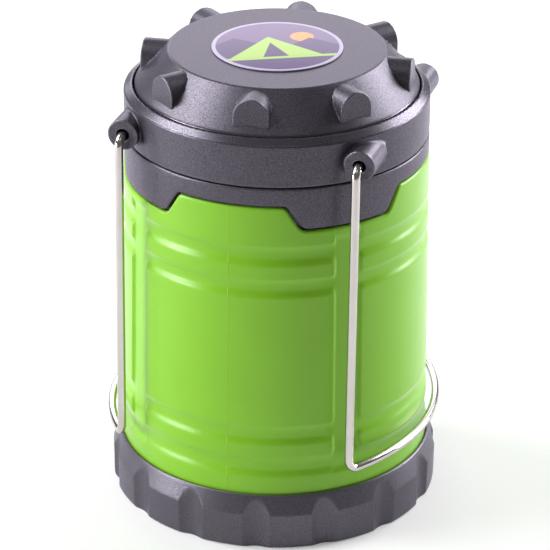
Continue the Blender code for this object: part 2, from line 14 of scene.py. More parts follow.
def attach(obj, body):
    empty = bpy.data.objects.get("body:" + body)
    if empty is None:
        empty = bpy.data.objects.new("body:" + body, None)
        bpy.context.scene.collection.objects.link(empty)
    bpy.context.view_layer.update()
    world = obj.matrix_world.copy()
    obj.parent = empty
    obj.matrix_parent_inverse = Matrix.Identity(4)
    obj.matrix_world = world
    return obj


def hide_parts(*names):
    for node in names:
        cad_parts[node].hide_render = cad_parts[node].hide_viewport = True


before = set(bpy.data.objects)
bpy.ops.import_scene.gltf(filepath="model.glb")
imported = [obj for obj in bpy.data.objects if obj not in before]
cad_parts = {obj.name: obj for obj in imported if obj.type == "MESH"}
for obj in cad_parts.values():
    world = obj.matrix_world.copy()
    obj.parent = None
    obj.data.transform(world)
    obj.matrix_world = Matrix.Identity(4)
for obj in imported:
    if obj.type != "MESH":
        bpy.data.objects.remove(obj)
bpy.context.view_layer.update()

MM = 0.001

# Levels, radii and angles of the shape in mm and degrees, the same as the CAD part's
DISC_Z, DISC_R = 124.8, 28.6
CAP_R, CAP_LOW_Z, CAP_CEILING_Z, CAP_WALL, CONE_TOP_Z = 37.3, 111.8, 122.6, 2.2, 124.6
KNOB_COUNT, KNOB_ANGLE, KNOB_R, KNOB_FACE_R, KNOB_AXIS_Z = 8, -83.2, 4.7, 35.6, 119.7
POST_PLACE_R, POST_R = 27.4, 2.9
SCREW_PLACE_R, COLUMN_SCREW_PLACE_R, SCREW_HOLE_R, SCREW_HOLE_TOP_Z = 28.4, 15.5, 1.3, 119.5
RIM_Z, RIM_R, COLLAR_R, CHAMFER_Z, COLLAR_LOW_Z = 115.5, 38.0, 40.1, 113.9, 102.6
COLLAR_BORE, DECK_Z, DECK_TOP_Z, LENS_HOLE_R, WIRE_HOLE_R = 37.65, 109.5, 111.5, 36.0, 5.0
STEP_Z, STEP_DEPTH = 104.55, 0.15
BOSS_X, BOSS_FACE_Y, BOSS_Z, BOSS_R, BORE_R, BORE_END_Y = 31.5, 31.4, 108.4, 4.1, 1.65, 23.4
WIRE_R, LEG_TOP_Y, LEG_BOTTOM_Y, HANDLE_LOW_Z, HANDLE_REACH_X = 1.15, 34.0, 35.2, 23.5, 43.6
SPLIT_Z, SKIRT_R, SKIRT_RAISED_Z, TAB_LOW_Z = 102.3, 40.1, 97.5, 91.0
TAB_LOW_HALF, TAB_HIGH_HALF = 12.0, 16.2
LINER_R, LINER_BORE, LINER_LOW_Z, LINER_FLOOR_Z = 38.5, 36.9, 15.7, 21.0
LINER_FLANGE_R, LINER_FLANGE_H, LINER_HOLE_R = 39.7, 1.6, 26.5
LINER_MOUTH_R, LINER_MOUTH_Z, RAIL_GROOVE_R, RAIL_TOP_Z, RAIL_HALF = 36.0, 99.4, 37.8, 98.0, 2.3
SLEEVE_TOP_Z, SLEEVE_TOP_R, SLEEVE_DRAFT, SLEEVE_WALL, SLEEVE_LOW_Z = 97.0, 40.2, 0.0165, 1.3, 13.2
SLEEVE_GROOVES = ((86.7, 80.4), (77.5, 71.5), (35.3, 29.0), (26.1, 19.5))
GROOVE_DEPTH, CHANNEL_HALF = 0.75, 3.6
BASE_R, BASE_EDGE_Z, BASE_TOP_Z, BASE_TOP_R = 44.2, 9.8, 15.1, 42.4
BASE_BORE, BASE_FLOOR, BASE_RECESS = 41.95, 2.4, 0.8
FLUTE_COUNT, FLUTE_ANGLE, FLUTE_R, FLUTE_DEPTH, FLUTE_HALF = 15, -78.6, 6.2, 1.3, 4.67
HUB_R, HUB_BORE, HUB_TOP_Z = 35.3, 33.6, 12.2
LUG_HEIGHT, LUG_HALF, LUG_LOW_Z = 0.9, 14.0, 10.4
LENS_R, LENS_BORE, LENS_LOW_Z, LENS_TOP_Z = 35.6, 34.1, 36.3, 109.2
BADGE_R, BADGE_LOW_Z, BADGE_TOP_Z = 17.1, 124.85, 125.15
STRIP_NEAR, STRIP_LOW_Z, STRIP_H, STRIP_W, STRIP_T = 22.5, 46.0, 50.0, 14.0, 1.0
LEDS_PER_STRIP, LED_W, LED_H, PHOSPHOR_W, RESISTOR_PLACE = 5, 3.5, 0.85, 2.7, 4.6
QUARTER_TURNS = np.radians([0, 90, 180, 270])
SMOOTH_ANGLE = 38.0
BADGE_TURN = 27.0

# The camera stands in front, a little to the right of the front and above
CAMERA_AZIMUTH, CAMERA_ELEVATION, CAMERA_DISTANCE, CAMERA_ROLL = 17.45, 26.0, 0.812, 0.48
CAMERA_AIM = Vector((-0.00014, -0.00004, 0.0590))
CAMERA_LENS = 197.6
LAMP_AIM = Vector((0, 0, 0.06))
FLOOR_HALF, ROOM_LIGHT = 4.0, 0.16


# ---------------------------------------------------------------- meshes

def add_painted_edge_highlight(mesh):
    """Store how convex each point is, 0 to 1, for the highlight painted on the materials' edges."""
    place = np.empty(len(mesh.vertices) * 3)
    mesh.vertices.foreach_get("co", place)
    normal = np.empty(len(mesh.vertices) * 3)
    mesh.vertices.foreach_get("normal", normal)
    ends = np.empty(len(mesh.edges) * 2, int)
    mesh.edges.foreach_get("vertices", ends)
    a, b = ends[0::2], ends[1::2]
    place, normal = place.reshape(-1, 3) / MM, normal.reshape(-1, 3)
    along = place[b] - place[a]
    length = (along ** 2).sum(1)
    bend = ((normal[b] - normal[a]) * along).sum(1) / np.maximum(length, 0.05)
    total, count = np.zeros(len(place)), np.zeros(len(place))
    for end in (a, b):
        np.add.at(total, end, bend)
        np.add.at(count, end, 1)
    convex = smoothstep(0.35, 1.3, total / np.maximum(count, 1))
    layer = mesh.attributes.new("painted_edge_highlight", "FLOAT", "POINT")
    layer.data.foreach_set("value", convex.astype(np.float32))


def new_object(name, verts, faces, mats, normals=None, indices=None):
    """A closed mesh from points in millimetres. Its shading follows the face corners' normals where
    they are given."""
    mesh = bpy.data.meshes.new(name)
    mesh.from_pydata((np.asarray(verts, float) * MM).tolist(), [], faces)
    for mat in mats:
        mesh.materials.append(mat)
    if indices is not None:
        mesh.polygons.foreach_set("material_index", indices)
    bm = bmesh.new()
    bm.from_mesh(mesh)
    bmesh.ops.recalc_face_normals(bm, faces=bm.faces)
    bm.to_mesh(mesh)
    bm.free()
    mesh.shade_smooth()
    if normals is None:
        mesh.set_sharp_from_angle(angle=math.radians(SMOOTH_ANGLE))
    else:
        mesh.normals_split_custom_set(normals.tolist())
    add_painted_edge_highlight(mesh)
    obj = bpy.data.objects.new(name, mesh)
    bpy.context.scene.collection.objects.link(obj)
    return obj


def wrapped(name, points, mats, closed):
    """A skin over points[column, row]. Columns go round the Z axis. Rows form a closed loop, or run
    from the axis to the axis."""
    columns, rows = points.shape[:2]
    verts = points.reshape(-1, 3)
    at = np.arange(columns * rows).reshape(columns, rows)
    ahead = np.roll(at, -1, axis=0)
    if closed:
        right = np.roll(at, -1, axis=1)
        far = np.roll(ahead, -1, axis=1)
        faces = np.stack([at, ahead, far, right], -1).reshape(-1, 4).tolist()
    else:
        first, last = len(verts), len(verts) + 1
        ends = [points[:, 0].mean(0), points[:, -1].mean(0)]
        quads = np.stack([at[:, :-1], ahead[:, :-1], ahead[:, 1:], at[:, 1:]], -1)
        faces = quads.reshape(-1, 4).tolist()
        faces += [[first, b, a] for a, b in zip(at[:, 0], ahead[:, 0])]
        faces += [[last, a, b] for a, b in zip(at[:, -1], ahead[:, -1])]
        verts = np.vstack([verts, ends])
    return new_object(name, verts, faces, mats)


def polar(radius, angle, z):
    """Points from radii and angles round the Z axis."""
    return np.stack(np.broadcast_arrays(radius * np.cos(angle), radius * np.sin(angle), z), -1)


def corner_arc(back, here, ahead, radius, steps):
    """Points of an arc that rounds the corner here. Back and ahead point along its two sides."""
    half = back.angle(ahead) / 2
    centre = here + (back + ahead).normalized() * (radius / math.sin(half))
    trim = radius / math.tan(half)
    start = (here + back * trim - centre).normalized()
    end = (here + ahead * trim - centre).normalized()
    return [centre + start.slerp(end, k / steps, start) * radius for k in range(steps + 1)]


def eased(profile, radius=0.3, steps=3, closed=True):
    """A (radius, z) profile with its corners rounded, as an array."""
    points = [Vector(p) for p in profile]
    count = len(points)
    result = []
    for i, here in enumerate(points):
        if not closed and i in (0, count - 1):
            result.append(here)
            continue
        back = points[i - 1] - here
        ahead = points[(i + 1) % count] - here
        widest = 0.45 * min(back.length, ahead.length) * math.tan(back.angle(ahead) / 2)
        result += corner_arc(back.normalized(), here, ahead.normalized(), min(radius, widest), steps)
    return np.array([p[:] for p in result])


def turned(name, profile, mats, steps=128, radius=0.3, closed=True):
    """Turn a profile round the Z axis. An open one starts and ends near the axis."""
    line = eased(profile, radius, closed=closed)
    angle = np.linspace(0.0, 2 * np.pi, steps, endpoint=False)[:, None]
    return wrapped(name, polar(line[None, :, 0], angle, line[None, :, 1]), mats, closed)


def graded(*spans):
    """Numbers along spans (start, end, count), each span spaced evenly."""
    parts = [np.linspace(a, b, n, endpoint=False) for a, b, n in spans]
    return np.append(np.concatenate(parts), spans[-1][1])


def smoothstep(low, high, x):
    """0 below low, 1 above high, and an even S between."""
    t = np.clip((x - low) / (high - low), 0.0, 1.0)
    return t * t * (3 - 2 * t)


# Distances to solids, negative inside, and how they combine with a rounded edge or fillet

def meet(a, b, radius):
    corner = np.hypot(np.maximum(a + radius, 0), np.maximum(b + radius, 0))
    return np.minimum(-radius, np.maximum(a, b)) + corner


def join(a, b, radius):
    return -meet(-a, -b, radius)


def cut(a, b, radius):
    return meet(a, -b, radius)


def skin(name, field, low, high, cell, mats):
    """A closed mesh over the surface where the field is zero. One point is placed in each cell that
    the surface crosses, and then moved onto the surface."""
    axes = [np.arange(a - 1.7 * cell, b + 2.7 * cell, cell) for a, b in zip(low, high)]
    value = field(*np.meshgrid(*axes, indexing="ij", sparse=True))
    shape = tuple(n - 1 for n in value.shape)
    inside = value < 0
    corners = [(i, j, k) for i in (0, 1) for j in (0, 1) for k in (0, 1)]
    total = sum(inside[i:i + shape[0], j:j + shape[1], k:k + shape[2]].astype(np.int8)
                for i, j, k in corners)
    active = (total > 0) & (total < 8)
    cells = np.argwhere(active)
    index = np.full(shape, -1)
    index[active] = np.arange(len(cells))
    at_corner = {c: value[tuple((cells + c).T)] for c in corners}
    place = np.zeros((len(cells), 3))
    crossings = np.zeros(len(cells))
    for start in corners:
        for axis in range(3):
            if start[axis]:
                continue
            end = tuple(1 if n == axis else s for n, s in enumerate(start))
            a, b = at_corner[start], at_corner[end]
            crossed = (a < 0) != (b < 0)
            share = np.where(crossed, a / np.where(crossed, a - b, 1.0), 0.0)
            spot = np.array(start, float)[None, :].repeat(len(cells), 0)
            spot[:, axis] = share
            place += spot * crossed[:, None]
            crossings += crossed
    origin = np.array([a[0] for a in axes])
    points = origin + (cells + place / crossings[:, None]) * cell
    small = 0.02

    def slope_at(x, y, z):
        return np.stack([field(x + small, y, z) - field(x - small, y, z),
                         field(x, y + small, z) - field(x, y - small, z),
                         field(x, y, z + small) - field(x, y, z - small)], -1) / (2 * small)

    for _ in range(5):
        slope = slope_at(*points.T)
        size = np.maximum((slope ** 2).sum(1), 0.2)
        move = np.clip(field(*points.T) / size, -0.4 * cell, 0.4 * cell)
        points = points - slope * move[:, None]
    faces = []
    for axis in range(3):
        side, up = (axis + 1) % 3, (axis + 2) % 3
        lead = [slice(0, n) for n in value.shape]
        lead[axis] = slice(0, -1)
        follow = list(lead)
        follow[axis] = slice(1, None)
        first, second = inside[tuple(lead)], inside[tuple(follow)]
        edges = np.argwhere(first != second)
        outward = first[tuple(edges.T)]
        ring = []
        for back_side, back_up in ((1, 1), (0, 1), (0, 0), (1, 0)):
            near = edges.copy()
            near[:, side] -= back_side
            near[:, up] -= back_up
            ring.append(index[tuple(near.T)])
        ring = np.stack(ring, -1)
        ring[~outward] = ring[~outward][:, ::-1]
        faces.append(ring)
    faces = np.concatenate(faces)
    corners = points[faces]
    inward = corners + 0.3 * (corners.mean(1, keepdims=True) - corners)
    slope = slope_at(*inward.reshape(-1, 3).T)
    normals = slope / np.maximum(np.linalg.norm(slope, axis=1), 1e-6)[:, None]
    return new_object(name, points, faces.tolist(), mats, normals=normals)


# ---------------------------------------------------------------- materials

class Nodes:
    """Short names for building a material's nodes."""

    def __init__(self, name):
        self.material = bpy.data.materials.new(name)
        self.material.use_nodes = True
        self.tree = self.material.node_tree
        self.shader = self.tree.nodes["Principled BSDF"]
        self.object_place = self.add("ShaderNodeTexCoord").outputs["Object"]

    def add(self, kind, **values):
        node = self.tree.nodes.new(kind)
        for key, value in values.items():
            setattr(node, key, value)
        return node

    def feed(self, socket, value):
        if isinstance(value, bpy.types.NodeSocket):
            self.tree.links.new(value, socket)
        elif socket.type == "RGBA":
            socket.default_value = (*value, 1.0)
        else:
            socket.default_value = value

    def math(self, operation, a, b=0.0, clamp=False, third=0.0):
        node = self.add("ShaderNodeMath", operation=operation, use_clamp=clamp)
        for socket, value in zip(node.inputs, (a, b, third)):
            self.feed(socket, value)
        return node.outputs[0]

    def band(self, low_mm, high_mm, soft_mm=0.15):
        """1 between two heights, 0 elsewhere."""
        split = self.add("ShaderNodeSeparateXYZ")
        self.feed(split.inputs[0], self.object_place)
        above = self.remap(split.outputs[2], (low_mm - soft_mm) * MM, (low_mm + soft_mm) * MM)
        under = self.remap(split.outputs[2], (high_mm + soft_mm) * MM, (high_mm - soft_mm) * MM)
        return self.math("MULTIPLY", above, under)

    def noise(self, size_mm, detail=2.0, roughness=0.5, place=None):
        """Noise whose features are about size_mm across."""
        node = self.add("ShaderNodeTexNoise")
        self.feed(node.inputs["Vector"], place or self.object_place)
        self.feed(node.inputs["Scale"], 1.0 / (size_mm * MM))
        self.feed(node.inputs["Detail"], detail)
        self.feed(node.inputs["Roughness"], roughness)
        return node.outputs["Fac"]

    def remap(self, value, a, b, low=0.0, high=1.0):
        node = self.add("ShaderNodeMapRange")
        for socket, v in zip(node.inputs, (value, a, b, low, high)):
            self.feed(socket, v)
        return node.outputs[0]

    def mix(self, factor, a, b, kind="MIX"):
        node = self.add("ShaderNodeMix", data_type="RGBA", blend_type=kind)
        self.feed(node.inputs[0], factor)
        for socket, value in ((node.inputs[6], a), (node.inputs[7], b)):
            self.feed(socket, value)
        return node.outputs[2]

    def bump(self, height, depth_mm, strength=1.0, normal=None):
        node = self.add("ShaderNodeBump")
        self.feed(node.inputs["Strength"], strength)
        self.feed(node.inputs["Distance"], depth_mm * MM)
        self.feed(node.inputs["Height"], height)
        if normal is not None:
            self.feed(node.inputs["Normal"], normal)
        return node.outputs["Normal"]

    def edge(self):
        """1 on convex edges, where a highlight is painted, 0 elsewhere."""
        return self.add("ShaderNodeAttribute", attribute_name="painted_edge_highlight").outputs["Fac"]

    def set(self, **values):
        for name, value in values.items():
            self.feed(self.shader.inputs[name.replace("_", " ")], value)
        return self.material


def graphite_plastic():
    """Anthracite plastic with a fine metallic fleck. The cone round the disc and the foot are
    spark-textured, the disc is finely grained and the bevel of the collar is polished."""
    n = Nodes("graphite_plastic")
    fleck = n.noise(0.34, 1.5, 0.6)
    grain = n.remap(fleck, 0.30, 0.70)
    cone = n.band(RIM_Z + 0.4, DISC_Z - 0.3)
    bevel = n.band(CHAMFER_Z - 0.1, RIM_Z + 0.2)
    foot = n.band(-1.0, BASE_TOP_Z)
    base = n.mix(grain, (0.046, 0.042, 0.053), (0.114, 0.104, 0.130))
    base = n.mix(n.remap(n.noise(14.0, 3.0), 0.3, 0.7, 0.0, 0.22), base, (0.066, 0.060, 0.076))
    base = n.mix(n.math("MULTIPLY", foot, 0.30), base, (0.130, 0.122, 0.146))
    # Convex edges lighter: a painted edge highlight.
    base = n.mix(n.math("MULTIPLY", n.edge(), 0.35), base, (0.24, 0.23, 0.26))
    rough = n.remap(fleck, 0.3, 0.7, 0.43, 0.31)
    rough = n.math("SUBTRACT", rough, n.math("MULTIPLY", bevel, 0.10))
    disc = n.band(DISC_Z - 0.2, DISC_Z + 2.0)
    depth = n.math("MULTIPLY_ADD", n.math("MAXIMUM", cone, foot), 0.9, third=0.35)
    depth = n.math("MULTIPLY_ADD", disc, 0.35, third=depth)
    depth = n.math("MULTIPLY_ADD", bevel, -0.35, third=depth)
    normal = n.bump(n.math("MULTIPLY", fleck, depth), 0.045)
    normal = n.bump(n.noise(1.1, 2.0), 0.008, 0.6, normal)
    return n.set(Base_Color=base, Roughness=rough, Metallic=0.7, Normal=normal,
                 Specular_Tint=(0.93, 0.88, 1.0))


def green_plastic():
    """Lime plastic with a satin moulded skin."""
    n = Nodes("green_plastic")
    cloud = n.noise(11.0, 3.0)
    grain = n.noise(0.35, 2.0)
    base = n.mix(cloud, (0.172, 0.418, 0.010), (0.192, 0.452, 0.015))
    # Convex edges lighter: a painted edge highlight.
    base = n.mix(n.math("MULTIPLY", n.edge(), 0.3), base, (0.27, 0.54, 0.05))
    rough = n.remap(n.noise(3.0, 3.0), 0.3, 0.7, 0.28, 0.35)
    normal = n.bump(grain, 0.006, 0.5)
    normal = n.bump(n.noise(7.0, 1.0), 0.03, 0.5, normal)
    split = n.add("ShaderNodeSeparateXYZ")
    n.feed(split.inputs[0], n.object_place)
    mould_line = n.remap(n.math("ABSOLUTE", split.outputs[0]), 0.20 * MM, 0.06 * MM)
    normal = n.bump(mould_line, 0.035, 1.0, normal)
    return n.set(Base_Color=base, Roughness=rough, Normal=normal, Specular_IOR_Level=0.38,
                 Sheen_Weight=0.30, Sheen_Roughness=0.35, Subsurface_Weight=0.06,
                 Subsurface_Radius=(0.4, 0.8, 0.2), Subsurface_Scale=0.002)


def nickel_wire():
    """Bright plated wire with faint draw marks along it."""
    n = Nodes("nickel_wire")
    stretch = n.add("ShaderNodeMapping")
    n.feed(stretch.inputs["Vector"], n.object_place)
    n.feed(stretch.inputs["Scale"], (1.0, 1.0, 0.04))
    marks = n.noise(0.25, 2.0, 0.6, stretch.outputs[0])
    base = n.mix(n.noise(6.0, 2.0), (0.50, 0.465, 0.45), (0.60, 0.565, 0.55))
    rough = n.remap(marks, 0.3, 0.7, 0.12, 0.22)
    return n.set(Base_Color=base, Roughness=rough, Metallic=1.0, Normal=n.bump(marks, 0.004, 0.4))


def metal(name, dark, light, rough_low, rough_high, size_mm=0.5):
    """Plain metal with a brushed or plated skin."""
    n = Nodes(name)
    grain = n.noise(size_mm, 3.0, 0.6)
    return n.set(Base_Color=n.mix(n.noise(4.0, 3.0), dark, light), Metallic=1.0,
                 Roughness=n.remap(grain, 0.3, 0.7, rough_low, rough_high),
                 Normal=n.bump(grain, 0.004, 0.5))


def clear_plastic():
    """The clear lens, with a trace of haze."""
    n = Nodes("clear_plastic")
    haze = n.noise(9.0, 3.0)
    return n.set(Base_Color=n.mix(haze, (0.93, 0.95, 0.95), (0.97, 0.98, 0.98)),
                 Roughness=n.remap(haze, 0.3, 0.7, 0.02, 0.06), Transmission_Weight=1.0, IOR=1.49,
                 Normal=n.bump(n.noise(5.0, 1.0), 0.004, 0.3))


def moulded(name, dark, light, rough, size_mm=0.6, depth_mm=0.006):
    """A dull moulded plastic or rubber."""
    n = Nodes(name)
    grain = n.noise(size_mm, 3.0, 0.55)
    return n.set(Base_Color=n.mix(n.noise(7.0, 3.0), dark, light),
                 Roughness=n.remap(grain, 0.3, 0.7, rough - 0.06, rough + 0.06),
                 Normal=n.bump(grain, depth_mm, 0.6))


def cell_wrap():
    """A shrink-wrapped cell: dark sleeve with a metallic band at the top, and bare metal ends."""
    n = Nodes("cell_wrap")
    split = n.add("ShaderNodeSeparateXYZ")
    n.feed(split.inputs[0], n.object_place)
    height = split.outputs[2]
    band = n.remap(height, 0.0560, 0.0562)
    bare = n.math("ADD", n.remap(height, 0.0661, 0.0663), n.remap(height, 0.01735, 0.0172), True)
    base = n.mix(band, (0.020, 0.024, 0.034), (0.42, 0.24, 0.07))
    base = n.mix(bare, base, (0.62, 0.60, 0.57))
    base = n.mix(n.remap(n.noise(5.0, 3.0), 0.3, 0.7, 0.0, 0.2), base, (0.10, 0.10, 0.11))
    return n.set(Base_Color=base, Metallic=n.math("MAXIMUM", bare, n.math("MULTIPLY", band, 0.8)),
                 Roughness=n.remap(n.noise(0.8, 2.0), 0.3, 0.7, 0.24, 0.34),
                 Normal=n.bump(n.noise(2.5, 2.0), 0.01, 0.4))


def badge_print():
    """A printed label: pale rim, violet field, hills, a low sun and a ridge tent with its door."""
    n = Nodes("badge_print")
    turn = n.add("ShaderNodeMapping")
    n.feed(turn.inputs["Vector"], n.object_place)
    n.feed(turn.inputs["Rotation"], (0.0, 0.0, math.radians(-BADGE_TURN)))
    n.feed(turn.inputs["Scale"], (1000.0, 1000.0, 1000.0))
    split = n.add("ShaderNodeSeparateXYZ")
    n.feed(split.inputs[0], turn.outputs[0])
    x, y = split.outputs[0], split.outputs[1]
    blur = 0.12
    pale, violet, orange = (0.41, 0.37, 0.51), (0.180, 0.122, 0.245), (0.76, 0.31, 0.13)
    shade, leaf, dust = (0.108, 0.072, 0.168), (0.37, 0.53, 0.15), (0.42, 0.40, 0.47)

    def below(value):
        """1 where the distance is negative."""
        return n.remap(value, -blur, blur, 1.0, 0.0)

    def disc(cx, cy, r):
        dx, dy = n.math("SUBTRACT", x, cx), n.math("SUBTRACT", y, cy)
        square = n.math("ADD", n.math("MULTIPLY", dx, dx), n.math("MULTIPLY", dy, dy))
        return n.math("SUBTRACT", n.math("SQRT", square), r)

    def peak(cx, top, slope):
        """Distance below the two slopes of a hill or tent."""
        across = n.math("MULTIPLY", n.math("ABSOLUTE", n.math("SUBTRACT", x, cx)), slope)
        over = n.math("SUBTRACT", n.math("ADD", y, across), top)
        return n.math("DIVIDE", over, math.hypot(1.0, slope))

    ground = n.math("SUBTRACT", -7.2, y)
    colour = n.mix(below(disc(0, 0, BADGE_R - 1.0)), pale, violet)
    inner = below(disc(0, 0, BADGE_R - 1.05))
    sun = n.math("MULTIPLY", below(disc(7.4, 5.6, 3.1)), inner)
    colour = n.mix(sun, colour, orange)
    hills = n.math("MAXIMUM", below(peak(9.2, 4.6, 0.85)), below(peak(-10.4, 7.0, 0.8)))
    colour = n.mix(n.math("MULTIPLY", hills, inner), colour, shade)
    tent = n.math("MULTIPLY", below(peak(-1.5, 6.6, 1.15)), below(ground))
    door = n.math("MULTIPLY", below(peak(-1.5, 2.6, 2.9)), below(ground))
    colour = n.mix(n.math("MULTIPLY", tent, inner), colour, leaf)
    colour = n.mix(n.math("MULTIPLY", door, inner), colour, shade)
    grass = n.math("MULTIPLY", below(n.math("ADD", y, 7.2)), below(n.math("SUBTRACT", -8.6, y)))
    colour = n.mix(n.math("MULTIPLY", grass, inner), colour, leaf)
    dots = n.noise(0.3, 2.0)
    colour = n.mix(n.remap(dots, 0.3, 0.7, 0.0, 0.10), colour, dust)
    return n.set(Base_Color=colour, Roughness=n.remap(dots, 0.3, 0.7, 0.42, 0.54),
                 Normal=n.bump(dots, 0.006, 0.5))


def pale_floor():
    """A plain near-white floor that glows a little, so that it stays even."""
    n = Nodes("pale_floor")
    tone = n.noise(180.0, 2.0)
    return n.set(Base_Color=n.mix(tone, (0.60, 0.60, 0.60), (0.62, 0.62, 0.62)), Roughness=0.9,
                 Specular_IOR_Level=0.1, Emission_Color=(1.0, 1.0, 1.0), Emission_Strength=0.24)


MAT = {
    "graphite": graphite_plastic(),
    "green": green_plastic(),
    "wire": nickel_wire(),
    "screw": metal("screw_steel", (0.36, 0.35, 0.34), (0.52, 0.51, 0.50), 0.24, 0.40),
    "spring": metal("spring_steel", (0.45, 0.44, 0.42), (0.60, 0.58, 0.55), 0.20, 0.32),
    "clear": clear_plastic(),
    "mirror": metal("mirror_plastic", (0.80, 0.81, 0.83), (0.88, 0.89, 0.90), 0.04, 0.10, 2.0),
    "white": moulded("white_plastic", (0.70, 0.70, 0.68), (0.80, 0.80, 0.78), 0.42),
    "board": moulded("circuit_board", (0.62, 0.65, 0.63), (0.72, 0.74, 0.72), 0.36, 0.9, 0.004),
    "brass": metal("brass_strip", (0.62, 0.42, 0.14), (0.78, 0.58, 0.24), 0.18, 0.34),
    "rubber": moulded("black_rubber", (0.012, 0.012, 0.013), (0.030, 0.030, 0.031),
                      0.72, 0.4, 0.02),
    "cell": cell_wrap(),
    "badge": badge_print(),
    "package": moulded("led_package", (0.78, 0.78, 0.75), (0.86, 0.86, 0.84), 0.40, 0.3, 0.003),
    "phosphor": moulded("led_phosphor", (0.86, 0.66, 0.10), (0.92, 0.78, 0.22), 0.22, 0.25, 0.004),
    "solder": metal("solder_tin", (0.55, 0.55, 0.56), (0.70, 0.70, 0.71), 0.25, 0.45, 0.3),
}


# ---------------------------------------------------------------- head

def top_cap():
    """The cap: a cone round a flat disc, eight knobs, and four screw posts in its hollow."""
    flank = np.array([RIM_Z + 0.7 - CONE_TOP_Z, DISC_R - (CAP_R - 0.7)])
    flank = -flank / np.hypot(*flank)
    knob_step = 2 * np.pi / KNOB_COUNT

    def field(x, y, z):
        r = np.hypot(x, y)
        slope = (r - DISC_R) * flank[0] + (z - CONE_TOP_Z) * flank[1]
        body = meet(meet(z - DISC_Z, slope, 0.3), r - CAP_R, 0.35)
        turn = np.arctan2(y, x) - math.radians(KNOB_ANGLE)
        turn = (turn + knob_step / 2) % knob_step - knob_step / 2
        along, across = r * np.cos(turn), r * np.sin(turn)
        round_top = np.hypot(across, np.maximum(z - KNOB_AXIS_Z, 0.0)) - KNOB_R
        knob = meet(round_top, along - KNOB_FACE_R, 0.35)
        knob = np.maximum(knob, 20.0 - along)
        solid = np.minimum(body, knob)
        hollow = meet(z - CAP_CEILING_Z, slope + CAP_WALL - 0.15, 0.4)
        hollow = meet(hollow, r - (CAP_R - CAP_WALL), 0.4)
        solid = cut(solid, hollow, 0.3)
        posts = np.inf
        holes = np.inf
        for a in QUARTER_TURNS:
            post = np.hypot(x - POST_PLACE_R * np.cos(a), y - POST_PLACE_R * np.sin(a))
            hole = np.hypot(x - SCREW_PLACE_R * np.cos(a), y - SCREW_PLACE_R * np.sin(a))
            posts = np.minimum(posts, post - POST_R)
            holes = np.minimum(holes, hole - SCREW_HOLE_R)
        posts = np.maximum(posts, z - (CAP_CEILING_Z + 0.6))
        solid = join(solid, np.maximum(posts, body + 1.3), 0.9)
        solid = cut(solid, np.maximum(holes, z - SCREW_HOLE_TOP_Z), 0.15)
        return meet(solid, CAP_LOW_Z - z, 0.3)

    reach = CAP_R + 1.0
    return skin("cap_shell", field, (-reach, -reach, CAP_LOW_Z), (reach, reach, DISC_Z), 0.42,
                [MAT["graphite"]])


def collar():
    """The ring under the cap, with its bevel, its inner deck and the four bosses of the handles."""
    lean = np.array([RIM_Z - CHAMFER_Z, COLLAR_R - RIM_R])
    lean = lean / np.hypot(*lean)
    deck_holes = [(0.0, 0.0, WIRE_HOLE_R)]
    for place, angles in ((SCREW_PLACE_R, QUARTER_TURNS),
                          (COLUMN_SCREW_PLACE_R, np.radians([90, 210, 330]))):
        deck_holes += [(place * math.cos(a), place * math.sin(a), SCREW_HOLE_R) for a in angles]

    def field(x, y, z):
        r = np.hypot(x, y)
        step = STEP_DEPTH * (1 - smoothstep(STEP_Z - 0.1, STEP_Z + 0.1, z))
        chamfer = (r - RIM_R) * lean[0] + (z - RIM_Z) * lean[1]
        solid = meet(meet(z - RIM_Z, chamfer, 0.25), r - COLLAR_R + step, 0.3)
        solid = meet(solid, COLLAR_LOW_Z - z, 0.3)
        reach = np.hypot(np.abs(x) - BOSS_X, z - BOSS_Z)
        boss = meet(reach - BOSS_R, np.abs(y) - BOSS_FACE_Y, 0.35)
        boss = np.maximum(boss, 20.0 - np.abs(y))
        solid = join(solid, boss, 0.6)
        under = meet(r - COLLAR_BORE, z - DECK_Z, 0.4)
        under = np.maximum(under, STEP_Z + 0.35 - z)
        over = meet(r - COLLAR_BORE, DECK_TOP_Z - z, 0.3)
        lens_hole = np.maximum(r - LENS_HOLE_R, z - DECK_Z)
        solid = cut(solid, np.minimum(under, lens_hole), 0.15)
        solid = cut(solid, over, 0.25)
        solid = np.minimum(solid, np.maximum(boss, COLLAR_LOW_Z - z))
        bore = np.maximum(reach - BORE_R, BORE_END_Y - np.abs(y))
        solid = cut(solid, bore, 0.25)
        for hx, hy, hr in deck_holes:
            solid = np.maximum(solid, hr - np.hypot(x - hx, y - hy) + 0.0 * z)
        return solid

    reach = COLLAR_R + 0.6
    wide = BOSS_X + BOSS_R
    return skin("collar_shell", field, (-max(reach, wide), -reach, COLLAR_LOW_Z),
                (max(reach, wide), reach, RIM_Z), 0.46, [MAT["graphite"]])


def badge():
    """The round label on the disc."""
    profile = [(0.2, BADGE_LOW_Z), (BADGE_R, BADGE_LOW_Z), (BADGE_R, BADGE_TOP_Z),
               (0.2, BADGE_TOP_Z)]
    return turned("badge_disc", profile, [MAT["badge"]], 144, 0.1, closed=False)


